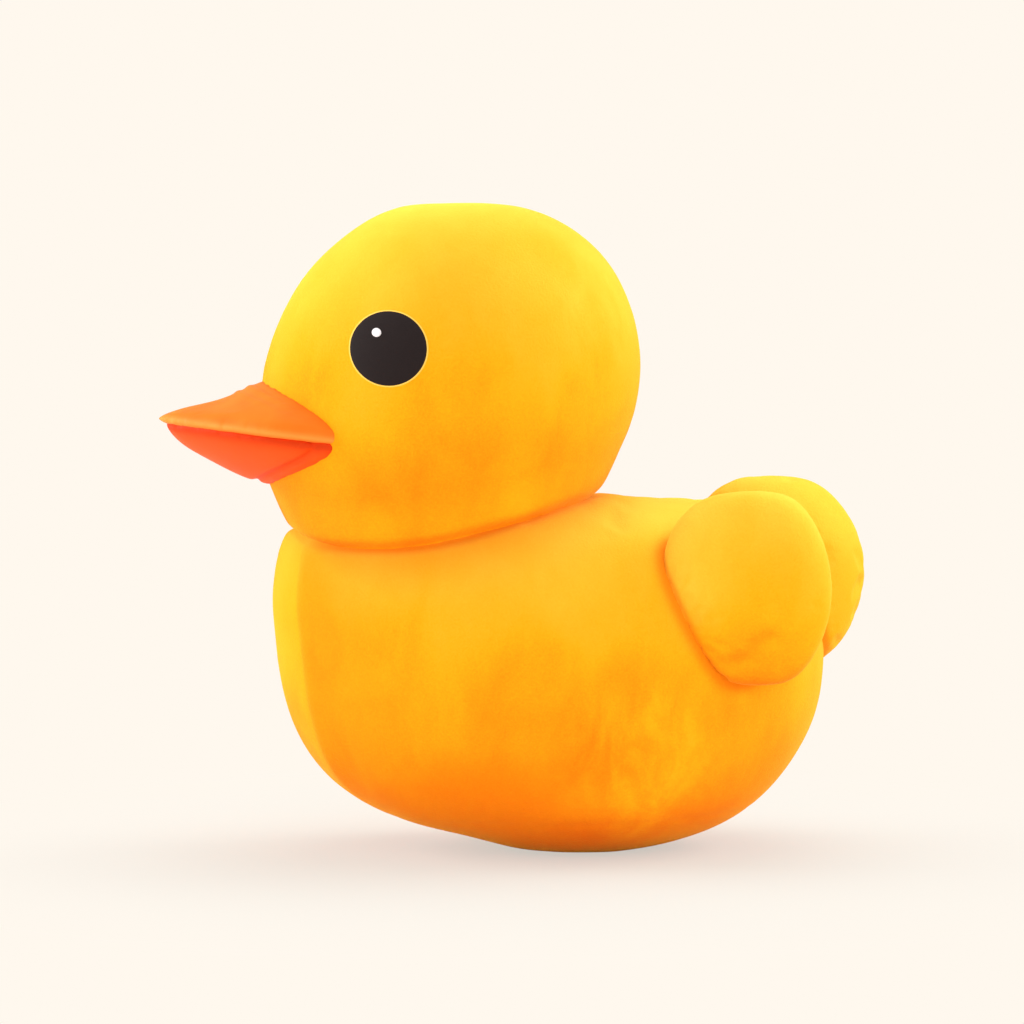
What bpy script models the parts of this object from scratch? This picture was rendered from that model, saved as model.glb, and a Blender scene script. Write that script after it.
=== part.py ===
"""Plush duck: sewn plush covers, each round its own fibre filling.

The duck faces -Y, its left side is +X, +Z is up, and it stands on Z = 0. All sizes are in metres.
Each soft form is one coarse cage of rings, smoothed. Its cover is the fabric's thickness of that form,
cut into the panels that are sewn together, and its filling is what is left inside. A smaller form is
cut by the larger one that it is sewn to.
"""

import math

import bmesh
import bpy
from mathutils import Matrix, Vector

# Cloth and fits
FABRIC = 0.0024  # plush backing with its pile pressed flat
BILL_FABRIC = 0.0012  # thin brushed cloth of the bill
FELT = 0.0016  # felt of an eye
DOT_FELT = 0.0010  # felt of the white dot on an eye
GAP = 0.0003  # clearance between two pieces that touch
SEAM_GAP = 0.0008  # groove between two panels that are sewn edge to edge
REST_CUT = 0.0005  # depth of the flat that the base is pressed to
OVERRUN = 0.050  # how far a cutter runs past what it cuts
SMOOTH_LEVELS = 1
GRID_DIGITS = 5  # decimals of a metre that a form's points keep
ORDER_DIRECTION = Vector((0.61, 0.37, 1.0))  # slanted, so that no two points of a form are level

# Body: the largest form. Its axis is where it is widest.
BODY_FRONT = 0.1715
BODY_REAR = 0.1720
BODY_HALF_WIDTH = 0.1180
BODY_HEIGHT = 0.2180
BODY_AXIS_Y = 0.0200
BODY_SIDES = 10
# Rings from the base up: height, front, rear and width, each as a share of the body's own size.
BODY_RING_SHARES = (
    (0.000, 0.00, 0.00, 0.00),
    (0.000, 0.26, 0.46, 0.46),
    (0.110, 0.74, 0.78, 0.78),
    (0.340, 0.98, 1.02, 1.02),
    (0.640, 1.04, 1.05, 1.06),
    (0.880, 1.04, 0.97, 0.89),
    (1.020, 0.76, 0.72, 0.58),
    (1.020, 0.00, 0.00, 0.00),
)
BODY_SQUARENESS = 2.15

# Head: it stands on the body, with its lowest ring inside it.
HEAD_FRONT = 0.1200
HEAD_REAR = 0.1170
HEAD_HALF_WIDTH = 0.1080
HEAD_HEIGHT = 0.2280
HEAD_FORWARD = 0.0600  # from the body's axis to the head's
NECK_SINK = 0.0480  # how deep the head's lowest ring lies in the body
HEAD_SIDES = 10
HEAD_RING_SHARES = (
    (0.00, 0.00, 0.00, 0.00),
    (0.00, 0.60, 0.40, 0.52),
    (0.19, 1.00, 0.78, 0.90),
    (0.42, 1.06, 1.06, 1.04),
    (0.66, 1.00, 1.08, 1.06),
    (0.88, 0.70, 0.92, 0.82),
    (1.02, 0.32, 0.50, 0.40),
    (1.02, 0.00, 0.00, 0.00),
)
HEAD_SQUARENESS = 1.95
NECK_LIP = 0.0090  # how far the body's cover reaches in under the head's
HEAD_AXIS_Y = BODY_AXIS_Y - HEAD_FORWARD
HEAD_LOW_Z = BODY_HEIGHT - NECK_SINK
HEAD_TOP_Z = HEAD_LOW_Z + HEAD_HEIGHT

# Tail: one lobe that carries the line of the back up and out
TAIL_FRONT = 0.0650
TAIL_REAR = 0.0580
TAIL_HALF_WIDTH = 0.0500
TAIL_HEIGHT = 0.1250
TAIL_RISE = 0.0130  # from the top of the body to the top of the tail
TAIL_INSET = 0.0320  # from the rear of the body to the tail's axis
TAIL_SIDES = 8
TAIL_RING_SHARES = (
    (0.00, 0.00, 0.00, 0.00),
    (0.02, 0.30, 0.60, 0.50),
    (0.30, 0.80, 1.06, 1.00),
    (0.66, 1.04, 1.12, 1.10),
    (0.98, 0.26, 0.66, 0.60),
    (1.02, 0.00, 0.00, 0.00),
)
TAIL_SQUARENESS = 2.1
TAIL_AXIS_Y = BODY_AXIS_Y + BODY_REAR - TAIL_INSET
TAIL_TOP_Z = BODY_HEIGHT + TAIL_RISE
TAIL_LOW_Z = TAIL_TOP_Z - TAIL_HEIGHT

# Wing: a padded paddle, sewn to the body along its front edge
WING_FRONT = 0.0540
WING_REAR = 0.0490
WING_HALF_THICKNESS = 0.0200
WING_HEIGHT = 0.1080
WING_DROP = 0.0010  # from the top of the body down to the top of the wing
WING_INSET = 0.0630  # from the rear of the body to the wing's axis
WING_SETBACK = 0.0170  # from the side of the body to the middle of the wing's thickness
WING_TOE_DEG = 14.0  # how far the wing turns in with the body towards the rear
WING_SIDES = 6
WING_RING_SHARES = (
    (0.00, 0.00, 0.00, 0.00),
    (0.01, 0.26, 0.60, 0.52),
    (0.28, 0.84, 1.04, 1.00),
    (0.66, 1.14, 1.10, 1.10),
    (0.98, 0.58, 0.64, 0.64),
    (1.02, 0.00, 0.00, 0.00),
)
WING_SQUARENESS = 2.2
WING_OPEN_DEG = 30.0
WING_OPEN_STEPS = 2
# Ends of the seam that the wing turns on, each a share of the wing's front and of its height
WING_SEAM_LOW_SHARES = (0.24, 0.10)
WING_SEAM_TOP_SHARES = (0.92, 0.87)
WING_SEAM_OUT = 0.0030  # from the middle of the wing's thickness to that seam
WING_AXIS_Y = BODY_AXIS_Y + BODY_REAR - WING_INSET
WING_TOP_Z = BODY_HEIGHT - WING_DROP
WING_LOW_Z = WING_TOP_Z - WING_HEIGHT
WING_X = BODY_HALF_WIDTH - WING_SETBACK

# Bill: an upper and a lower half that meet at the lip. Its rings run from inside the head to the tip.
BILL_REACH = 0.0595  # from the front of the head to the tip
BILL_SINK = 0.0650  # from the front of the head to the root inside it
BILL_HALF_WIDTH = 0.0800
BILL_LIP_UP = 0.0800  # from the head's lowest ring to the lip
BILL_RISE = 0.0390
BILL_DROP = 0.0330
BILL_PITCH_DEG = 7.0
BILL_LOWER_INSET = 0.0020
BILL_LOWER_TIP_INSET = 0.0065
BILL_SIDES = 8
# Rings from the root to the tip: length, width, rise and drop, each as a share of the bill's own size.
BILL_RING_SHARES = (
    (0.00, 0.00, 0.00, 0.00),
    (0.00, 0.98, 1.00, 1.00),
    (0.34, 1.04, 1.04, 1.04),
    (0.64, 0.74, 0.46, 0.72),
    (0.92, 0.38, 0.20, 0.38),
    (1.02, 0.00, 0.00, 0.00),
)

BILL_ROOT_Y = HEAD_AXIS_Y - HEAD_FRONT + BILL_SINK
BILL_TIP_Y = HEAD_AXIS_Y - HEAD_FRONT - BILL_REACH
BILL_LIP_Z = HEAD_LOW_Z + BILL_LIP_UP

# Eyes: a felt disc with a white felt dot, laid on the side of the head
EYE_RADIUS = 0.0220
EYE_FORWARD = 0.0436  # from the head's axis
EYE_UP = 0.1380  # from the head's lowest ring
EYE_SIDES = 20
DOT_RADIUS = 0.0028
DOT_FORWARD = 0.0072
DOT_UP = 0.0100
DOT_SIDES = 8
EYE_Y = HEAD_AXIS_Y - EYE_FORWARD
EYE_Z = HEAD_LOW_Z + EYE_UP

# Panels of the body's cover
CHEST_HALF_WIDTH = 0.0550
CHEST_LOW_Z = 0.0300
CHEST_TUCK = 0.0020  # from the top of the body to the chest oval's top, inside the head
BASE_HALF_WIDTH = 0.0820
BASE_HALF_LENGTH = 0.1120
BASE_BACK = 0.0130  # from the body's axis
BASE_DEPTH = 0.0300
CUTTER_SIDES = 16
CHEST_TOP_Z = BODY_HEIGHT + CHEST_TUCK

# Finish of each cloth: colour, roughness
PLUSH_YELLOW = ((1.00, 0.52, 0.02), 0.95)
FILL_WHITE = ((0.86, 0.86, 0.83), 1.00)
BILL_ORANGE = ((0.98, 0.22, 0.04), 0.80)
EYE_BLACK = ((0.022, 0.013, 0.013), 0.90)
DOT_WHITE = ((0.78, 0.72, 0.72), 0.90)


def clear_scene():
    for obj in list(bpy.data.objects):
        bpy.data.objects.remove(obj, do_unlink=True)


def new_collection(name):
    made = bpy.data.collections.new(name)
    bpy.context.scene.collection.children.link(made)
    return made


def cloth(name, finish):
    colour, roughness = finish
    made = bpy.data.materials.new(name)
    made.use_nodes = True
    shader = made.node_tree.nodes["Principled BSDF"]
    shader.inputs["Base Color"].default_value = (*colour, 1.0)
    shader.inputs["Roughness"].default_value = roughness
    shader.inputs["Metallic"].default_value = 0.0
    return made


def new_object(name, mesh, collection):
    made = bpy.data.objects.new(name, mesh)
    collection.objects.link(made)
    return made


def as_cutter(obj):
    obj.hide_render = True
    obj.display_type = "WIRE"
    return obj


def mesh_from(bm, name):
    mesh = bpy.data.meshes.new(name)
    bm.to_mesh(mesh)
    bm.free()
    return mesh


def evaluated_mesh(obj):
    graph = bpy.context.evaluated_depsgraph_get()
    return bpy.data.meshes.new_from_object(obj.evaluated_get(graph))


def superellipse(angle, squareness):
    """Sine and cosine of a ring that is squarer than an ellipse as squareness passes 2."""
    power = 2.0 / squareness
    sine, cosine = math.sin(angle), math.cos(angle)
    return (
        math.copysign(abs(sine) ** power, sine),
        math.copysign(abs(cosine) ** power, cosine),
    )


def triangulated(obj):
    """Flat faces only, so that each cut is exact, in an order that is the same in every run."""
    bm = bmesh.new()
    bm.from_mesh(obj.data)
    bm.verts.sort(key=lambda vertex: vertex.co.dot(ORDER_DIRECTION))
    bm.faces.sort(key=lambda face: face.calc_center_median().dot(ORDER_DIRECTION))
    bmesh.ops.triangulate(bm, faces=bm.faces)
    bm.to_mesh(obj.data)
    bm.free()
    return obj


def ring_cage(name, rings, sides, place, collection):
    """A sphere's rings moved by place(ring, angle), from its bottom pole up, then smoothed."""
    bm = bmesh.new()
    bmesh.ops.create_uvsphere(bm, u_segments=sides, v_segments=len(rings) - 1, radius=1.0)
    last = len(rings) - 1
    for vertex in bm.verts:
        level = math.acos(max(-1.0, min(1.0, -vertex.co.z)))
        ring = rings[round(level * last / math.pi)]
        vertex.co = place(ring, math.atan2(vertex.co.x, vertex.co.y))
    bmesh.ops.recalc_face_normals(bm, faces=bm.faces)
    cage = new_object(name, mesh_from(bm, name), collection)
    smooth = cage.modifiers.new("smooth", "SUBSURF")
    smooth.levels = SMOOTH_LEVELS
    smooth.render_levels = SMOOTH_LEVELS
    cage.data = evaluated_mesh(cage)
    cage.modifiers.clear()
    return as_cutter(triangulated(cage))


def fit_to_box(obj, low, high):
    """Scales the smoothed form to its named size, on a fine grid that makes every run alike."""
    points = [vertex.co for vertex in obj.data.vertices]
    was_low = Vector(min(p[axis] for p in points) for axis in range(3))
    was_high = Vector(max(p[axis] for p in points) for axis in range(3))
    for vertex in obj.data.vertices:
        for axis in range(3):
            share = (vertex.co[axis] - was_low[axis]) / (was_high[axis] - was_low[axis])
            vertex.co[axis] = round(low[axis] + share * (high[axis] - low[axis]), GRID_DIGITS)
    return obj


def standing_form(name, shares, sides, squareness, low, high, axis_y, collection):
    """A form whose rings are level. Each ring's front and rear are measured from axis_y."""
    front, rear = axis_y - low.y, high.y - axis_y
    middle_x, half_width = (low.x + high.x) / 2, (high.x - low.x) / 2

    def place(ring, angle):
        height, front_share, rear_share, width_share = ring
        sine, cosine = superellipse(angle, squareness)
        if ring in (shares[0], shares[-1]):
            y = axis_y + (rear_share * rear - front_share * front) / 2
        elif cosine > 0:
            y = axis_y + cosine * rear_share * rear
        else:
            y = axis_y + cosine * front_share * front
        return Vector((
            middle_x + sine * width_share * half_width,
            y,
            low.z + height * (high.z - low.z),
        ))

    form = ring_cage(name, shares, sides, place, collection)
    return fit_to_box(form, low, high)


def bill_form(name, half_width, tip_y, collection):
    """A form whose rings run out along -Y, with its widest line at the lip."""

    def place(ring, angle):
        length, width_share, rise_share, drop_share = ring
        sine, cosine = math.sin(angle), math.cos(angle)
        if ring in (BILL_RING_SHARES[0], BILL_RING_SHARES[-1]):
            across, up = 0.0, rise_share * BILL_RISE
        else:
            across = sine * width_share * half_width
            up = cosine * (rise_share * BILL_RISE if cosine > 0 else drop_share * BILL_DROP)
        return Vector((across, BILL_ROOT_Y + length * (tip_y - BILL_ROOT_Y), BILL_LIP_Z + up))

    form = ring_cage(name, BILL_RING_SHARES, BILL_SIDES, place, collection)
    low = Vector((-half_width, tip_y, BILL_LIP_Z - BILL_DROP))
    high = Vector((half_width, BILL_ROOT_Y, BILL_LIP_Z + BILL_RISE))
    return pitched(fit_to_box(form, low, high))


def pitched(obj):
    """Turns a part of the bill up about the level line through the root of the lip."""
    root = Vector((0.0, BILL_ROOT_Y, BILL_LIP_Z))
    turn = Matrix.Rotation(-math.radians(BILL_PITCH_DEG), 4, "X")
    obj.data.transform(Matrix.Translation(root) @ turn @ Matrix.Translation(-root))
    return obj


def offset_form(form, name, distance, collection):
    """A copy of a form, grown by distance along its normals, or shrunk where distance is negative."""
    bm = bmesh.new()
    bm.from_mesh(form.data)
    bm.normal_update()
    moves = [(vertex, vertex.normal * distance) for vertex in bm.verts]
    for vertex, move in moves:
        vertex.co += move
    made = new_object(name, mesh_from(bm, name), collection)
    made.matrix_world = form.matrix_world
    return as_cutter(made)


def box_cutter(name, low, high, collection):
    bm = bmesh.new()
    bmesh.ops.create_cube(bm, size=1.0)
    size = high - low
    bmesh.ops.transform(
        bm,
        verts=bm.verts,
        matrix=Matrix.Translation((low + high) / 2) @ Matrix.Diagonal((*size, 1.0)),
    )
    return as_cutter(new_object(name, mesh_from(bm, name), collection))


def oval_cutter(name, centre, axis, radii, depth, sides, collection):
    """An oval cylinder. Its radii lie across the axis, the first one level."""
    bm = bmesh.new()
    bmesh.ops.create_cone(
        bm,
        cap_ends=True,
        segments=sides,
        radius1=1.0,
        radius2=1.0,
        depth=1.0,
    )
    turn = Vector(axis).to_track_quat("Z", "Y").to_matrix().to_4x4()
    size = Matrix.Diagonal((radii[0], radii[1], depth, 1.0))
    bmesh.ops.transform(bm, verts=bm.verts, matrix=Matrix.Translation(centre) @ turn @ size)
    return as_cutter(new_object(name, mesh_from(bm, name), collection))


def boolean(obj, tool, operation):
    """EXACT leaves nothing of some of these thin covers, so they take the MANIFOLD solver."""
    made = obj.modifiers.new(f"{operation.lower()}_{tool.name}", "BOOLEAN")
    made.operation = operation
    made.solver = "MANIFOLD" if "fabric" in obj.modifiers else "EXACT"
    made.object = tool


def cut(obj, *tools):
    for tool in tools:
        boolean(obj, tool, "DIFFERENCE")
    return obj


def keep_inside(obj, tool):
    boolean(obj, tool, "INTERSECT")
    return obj


def piece(name, mesh, material, collection):
    made = new_object(name, mesh.copy(), collection)
    made.data.materials.clear()
    made.data.materials.append(material)
    made.data.shade_smooth()
    return made


def cover(name, form, thickness, material, collection):
    """The fabric's thickness inside a form."""
    made = piece(name, form.data, material, collection)
    wall = made.modifiers.new("fabric", "SOLIDIFY")
    wall.thickness = thickness
    wall.offset = -1.0
    return made


def filling(name, form, thickness, material, collection, cutters):
    """What a cover of that thickness leaves inside a form."""
    inner = offset_form(form, f"{name}_inside", -(thickness + GAP), cutters)
    return piece(name, inner.data, material, collection)


def panel_ovals(name, centre, axis, radii, depth, cutters):
    """An oval to cut a panel out by, and the hole for it, larger by the seam's groove."""
    hole_radii = [radius + SEAM_GAP for radius in radii]
    shape = oval_cutter(f"{name}_shape", centre, axis, radii, depth, CUTTER_SIDES, cutters)
    hole = oval_cutter(f"{name}_hole", centre, axis, hole_radii, depth, CUTTER_SIDES, cutters)
    return shape, hole


def make_body(parts, cutters, plush, fibre):
    """Returns the body's form and the panels that end at the neck."""
    low = Vector((-BODY_HALF_WIDTH, BODY_AXIS_Y - BODY_FRONT, -REST_CUT))
    high = Vector((BODY_HALF_WIDTH, BODY_AXIS_Y + BODY_REAR, BODY_HEIGHT))
    form = standing_form(
        "body_form", BODY_RING_SHARES, BODY_SIDES, BODY_SQUARENESS, low, high, BODY_AXIS_Y, cutters
    )
    floor = box_cutter(
        "floor",
        low - Vector((OVERRUN, OVERRUN, OVERRUN)),
        Vector((high.x + OVERRUN, high.y + OVERRUN, 0.0)),
        cutters,
    )
    chest_shape, chest_hole = panel_ovals(
        "chest",
        Vector((0.0, (low.y - OVERRUN + BODY_AXIS_Y) / 2, (CHEST_LOW_Z + CHEST_TOP_Z) / 2)),
        (0, 1, 0),
        (CHEST_HALF_WIDTH, (CHEST_TOP_Z - CHEST_LOW_Z) / 2),
        BODY_AXIS_Y - low.y + OVERRUN,
        cutters,
    )
    base_shape, base_hole = panel_ovals(
        "base",
        Vector((0.0, BODY_AXIS_Y + BASE_BACK, (BASE_DEPTH - OVERRUN) / 2)),
        (0, 0, 1),
        (BASE_HALF_WIDTH, BASE_HALF_LENGTH),
        BASE_DEPTH + OVERRUN,
        cutters,
    )
    left_half, right_half = half_cutters("body", low, high, cutters)
    left = cover("body_left_panel", form, FABRIC, plush, parts)
    right = cover("body_right_panel", form, FABRIC, plush, parts)
    chest = cover("chest_panel", form, FABRIC, plush, parts)
    base = cover("base_panel", form, FABRIC, plush, parts)
    cut(left, right_half, chest_hole, base_hole)
    cut(right, left_half, chest_hole, base_hole)
    cut(keep_inside(chest, chest_shape), base_hole)
    cut(keep_inside(base, base_shape), floor)
    filling("body_fill", form, FABRIC, fibre, parts, cutters)
    return form, (left, right, chest)


def half_cutters(name, low, high, cutters):
    """Boxes over the left and the right half, each run past the middle by half a seam's groove."""
    reach = Vector((OVERRUN, OVERRUN, OVERRUN))
    left = box_cutter(
        f"{name}_left_half", Vector((-SEAM_GAP / 2, *(low - reach)[1:])), high + reach, cutters
    )
    right = box_cutter(
        f"{name}_right_half", low - reach, Vector((SEAM_GAP / 2, *(high + reach)[1:])), cutters
    )
    return left, right


def make_head(parts, cutters, plush, fibre, body_form, neck_panels):
    low = Vector((-HEAD_HALF_WIDTH, HEAD_AXIS_Y - HEAD_FRONT, HEAD_LOW_Z))
    high = Vector((HEAD_HALF_WIDTH, HEAD_AXIS_Y + HEAD_REAR, HEAD_TOP_Z))
    form = standing_form(
        "head_form", HEAD_RING_SHARES, HEAD_SIDES, HEAD_SQUARENESS, low, high, HEAD_AXIS_Y, cutters
    )
    neck_opening = offset_form(form, "neck_opening", -NECK_LIP, cutters)
    for panel in neck_panels:
        cut(panel, neck_opening)
    body_clear = offset_form(body_form, "body_clear_of_head", GAP, cutters)
    left_half, right_half = half_cutters("head", low, high, cutters)
    cut(cover("head_left_panel", form, FABRIC, plush, parts), body_clear, right_half)
    cut(cover("head_right_panel", form, FABRIC, plush, parts), body_clear, left_half)
    cut(filling("head_fill", form, FABRIC, fibre, parts, cutters), body_clear)
    return form


def make_tail(parts, cutters, plush, fibre, body_form):
    low = Vector((-TAIL_HALF_WIDTH, TAIL_AXIS_Y - TAIL_FRONT, TAIL_LOW_Z))
    high = Vector((TAIL_HALF_WIDTH, TAIL_AXIS_Y + TAIL_REAR, TAIL_TOP_Z))
    form = standing_form(
        "tail_form", TAIL_RING_SHARES, TAIL_SIDES, TAIL_SQUARENESS, low, high, TAIL_AXIS_Y, cutters
    )
    body_clear = offset_form(body_form, "body_clear_of_tail", GAP, cutters)
    left_half, right_half = half_cutters("tail", low, high, cutters)
    cut(cover("tail_left_panel", form, FABRIC, plush, parts), body_clear, right_half)
    cut(cover("tail_right_panel", form, FABRIC, plush, parts), body_clear, left_half)
    cut(filling("tail_fill", form, FABRIC, fibre, parts, cutters), body_clear)


def seam_end(side, shares):
    """One end of the seam that a wing turns on."""
    front_share, height_share = shares
    return Vector((
        side * (WING_X + WING_SEAM_OUT),
        WING_AXIS_Y - front_share * WING_FRONT,
        WING_LOW_Z + height_share * WING_HEIGHT,
    ))


def wing_place(side):
    """Moves a wing from the middle to its side of the body and toes it in towards the rear."""
    pivot = Vector((0.0, WING_AXIS_Y, 0.0))
    toe = Matrix.Rotation(math.radians(-side * WING_TOE_DEG), 4, "Z")
    out = Matrix.Translation(Vector((side * WING_X, 0.0, 0.0)))
    return out @ Matrix.Translation(pivot) @ toe @ Matrix.Translation(-pivot)


def body_clears(prefix, side, body_form, low_end, top_end, cutters):
    """The body and its gap as the wing meets them, from the wing at rest to the wing wide open."""
    axis = (top_end - low_end).normalized()
    made = []
    for step in range(WING_OPEN_STEPS + 1):
        clear = offset_form(body_form, f"body_clear_of_{prefix}_{step}", GAP, cutters)
        opened = math.radians(side * WING_OPEN_DEG * step / WING_OPEN_STEPS)
        swing = Matrix.Rotation(opened, 4, axis)
        clear.matrix_world = Matrix.Translation(low_end) @ swing @ Matrix.Translation(-low_end)
        made.append(clear)
    return made


def make_wing(prefix, side, parts, cutters, plush, fibre, body_form):
    """side is 1 for the duck's left wing and -1 for its right wing."""
    low = Vector((-WING_HALF_THICKNESS, WING_AXIS_Y - WING_FRONT, WING_LOW_Z))
    high = Vector((WING_HALF_THICKNESS, WING_AXIS_Y + WING_REAR, WING_TOP_Z))
    form = standing_form(
        f"{prefix}_form", WING_RING_SHARES, WING_SIDES, WING_SQUARENESS, low, high, WING_AXIS_Y,
        cutters,
    )
    halves = half_cutters(prefix, low, high, cutters)
    for obj in (form, *halves):
        obj.data.transform(wing_place(side))
    outer_half, inner_half = halves if side > 0 else reversed(halves)
    low_end = seam_end(side, WING_SEAM_LOW_SHARES)
    top_end = seam_end(side, WING_SEAM_TOP_SHARES)
    clears = body_clears(prefix, side, body_form, low_end, top_end, cutters)
    hinge = bpy.data.objects.new(f"{prefix}_hinge", None)
    parts.objects.link(hinge)
    hinge.location = low_end
    made = (
        cut(cover(f"{prefix}_outer_panel", form, FABRIC, plush, parts), inner_half, *clears),
        cut(cover(f"{prefix}_inner_panel", form, FABRIC, plush, parts), outer_half, *clears),
        cut(filling(f"{prefix}_fill", form, FABRIC, fibre, parts, cutters), *clears),
    )
    for obj in made:
        obj.data.transform(Matrix.Translation(-low_end))
        obj.parent = hinge


def make_bill(parts, cutters, brushed, fibre, head_form):
    upper = bill_form("upper_bill_form", BILL_HALF_WIDTH, BILL_TIP_Y, cutters)
    lower = bill_form(
        "lower_bill_form", BILL_HALF_WIDTH - BILL_LOWER_INSET, BILL_TIP_Y + BILL_LOWER_TIP_INSET,
        cutters,
    )
    head_clear = offset_form(head_form, "head_clear_of_bill", GAP, cutters)
    low = Vector((-BILL_HALF_WIDTH - OVERRUN, BILL_TIP_Y - OVERRUN, BILL_LIP_Z - BILL_DROP - OVERRUN))
    high = Vector((BILL_HALF_WIDTH + OVERRUN, BILL_ROOT_Y + OVERRUN, BILL_LIP_Z + BILL_RISE + OVERRUN))
    below = pitched(box_cutter("below_lip", low, Vector((high.x, high.y, BILL_LIP_Z)), cutters))
    above_low = Vector((low.x, low.y, BILL_LIP_Z - SEAM_GAP))
    above = pitched(box_cutter("above_lip", above_low, high, cutters))
    cut(cover("bill_upper_panel", upper, BILL_FABRIC, brushed, parts), below, head_clear)
    cut(cover("bill_lower_panel", lower, BILL_FABRIC, brushed, parts), above, head_clear)
    fill = filling("bill_fill", upper, BILL_FABRIC, fibre, parts, cutters)
    lower_inside = offset_form(lower, "lower_bill_inside", -(BILL_FABRIC + GAP), cutters)
    cut(fill, below)
    boolean(fill, lower_inside, "UNION")
    cut(fill, head_clear)


def head_surface_point(form, y, z, side):
    """Where a level line from the side meets the head, and the way that its surface faces there."""
    start = Vector((side * (HEAD_HALF_WIDTH + OVERRUN), y, z))
    hit, point, normal, _ = form.ray_cast(start, Vector((-side, 0.0, 0.0)))
    if not hit:
        raise ValueError("the eye lies off the head")
    return point, normal


def felt_disc(name, form, centre, normal, radius, inner, thickness, sides, material, parts, cutters):
    """A round of felt that follows the head: it lies between two offsets of the head's form."""
    depth = 2 * OVERRUN
    shape = oval_cutter(f"{name}_shape", centre, normal, (radius, radius), depth, sides, cutters)
    made = piece(name, shape.data, material, parts)
    keep_inside(made, offset_form(form, f"{name}_outside", inner + thickness, cutters))
    return cut(made, offset_form(form, f"{name}_underside", inner, cutters))


def make_eye(prefix, side, parts, cutters, black, white, head_form):
    centre, normal = head_surface_point(head_form, EYE_Y, EYE_Z, side)
    felt_disc(
        prefix, head_form, centre, normal, EYE_RADIUS, GAP, FELT, EYE_SIDES, black, parts, cutters
    )
    dot, dot_normal = head_surface_point(head_form, EYE_Y - DOT_FORWARD, EYE_Z + DOT_UP, side)
    felt_disc(
        f"{prefix}_dot", head_form, dot, dot_normal, DOT_RADIUS, GAP + FELT + GAP, DOT_FELT,
        DOT_SIDES, white, parts, cutters,
    )


def main():
    clear_scene()
    parts = new_collection("plush_duck")
    cutters = new_collection("cutters")
    plush = cloth("plush", PLUSH_YELLOW)
    fibre = cloth("fibre_fill", FILL_WHITE)
    brushed = cloth("brushed_cloth", BILL_ORANGE)
    black = cloth("black_felt", EYE_BLACK)
    white = cloth("white_felt", DOT_WHITE)
    body_form, neck_panels = make_body(parts, cutters, plush, fibre)
    head_form = make_head(parts, cutters, plush, fibre, body_form, neck_panels)
    make_tail(parts, cutters, plush, fibre, body_form)
    make_bill(parts, cutters, brushed, fibre, head_form)
    for prefix, side in (("left", 1), ("right", -1)):
        make_wing(f"{prefix}_wing", side, parts, cutters, plush, fibre, body_form)
        make_eye(f"{prefix}_eye", side, parts, cutters, black, white, head_form)


main()
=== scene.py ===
"""Looks of a plush duck that sits on its flattened base.

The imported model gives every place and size. Each soft piece is modelled over the solids that it stands
for, filled out by cloth simulation, drawn in along its seams, and covered in its own cloth.
"""

import math

import bmesh
import bpy
from mathutils import Matrix, Vector, noise
from mathutils.bvhtree import BVHTree


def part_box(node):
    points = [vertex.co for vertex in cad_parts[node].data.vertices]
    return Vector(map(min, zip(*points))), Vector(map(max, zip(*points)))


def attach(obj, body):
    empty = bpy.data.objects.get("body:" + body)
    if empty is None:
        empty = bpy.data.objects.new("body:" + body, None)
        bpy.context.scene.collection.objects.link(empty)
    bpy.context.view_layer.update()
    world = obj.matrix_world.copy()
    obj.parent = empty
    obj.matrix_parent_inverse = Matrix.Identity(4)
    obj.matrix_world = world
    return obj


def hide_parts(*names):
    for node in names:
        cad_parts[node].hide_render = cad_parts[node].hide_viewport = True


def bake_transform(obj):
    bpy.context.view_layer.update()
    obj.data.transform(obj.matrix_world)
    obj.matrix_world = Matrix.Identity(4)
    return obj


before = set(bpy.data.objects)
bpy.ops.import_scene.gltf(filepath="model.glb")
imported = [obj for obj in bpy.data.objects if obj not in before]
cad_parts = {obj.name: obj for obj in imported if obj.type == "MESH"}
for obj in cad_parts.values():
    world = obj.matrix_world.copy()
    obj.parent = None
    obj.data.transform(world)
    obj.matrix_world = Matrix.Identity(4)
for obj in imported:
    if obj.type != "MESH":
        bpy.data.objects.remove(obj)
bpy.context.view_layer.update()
scene = bpy.context.scene

# Camera
# It looks at the duck's left side from a little in front and just above level, with a long lens, which is
# how the photograph was taken.
VIEW_AZIMUTH = math.radians(84.0)
VIEW_ELEVATION = math.radians(2.5)
VIEW_DISTANCE = 2.2
VIEW_TARGET = Vector((0.0, 0.0, 0.200))
PIXEL = 0.000616  # one pixel's width at the duck
FRAME_PIXELS = 1024
TARGET_PIXEL = (517, 524)
SENSOR_MM = 36.0

toward_camera = Vector((
    math.sin(VIEW_AZIMUTH) * math.cos(VIEW_ELEVATION),
    -math.cos(VIEW_AZIMUTH) * math.cos(VIEW_ELEVATION),
    math.sin(VIEW_ELEVATION),
))
camera = bpy.data.objects.new("camera", bpy.data.cameras.new("camera"))
scene.collection.objects.link(camera)
camera.location = VIEW_TARGET + toward_camera * VIEW_DISTANCE
camera.rotation_euler = toward_camera.to_track_quat("Z", "Y").to_euler()
camera.data.sensor_width = SENSOR_MM
camera.data.lens = SENSOR_MM * VIEW_DISTANCE / (PIXEL * FRAME_PIXELS)
camera.data.shift_x = (FRAME_PIXELS / 2 - TARGET_PIXEL[0]) / FRAME_PIXELS
camera.data.shift_y = (TARGET_PIXEL[1] - FRAME_PIXELS / 2) / FRAME_PIXELS
scene.camera = camera

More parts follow.
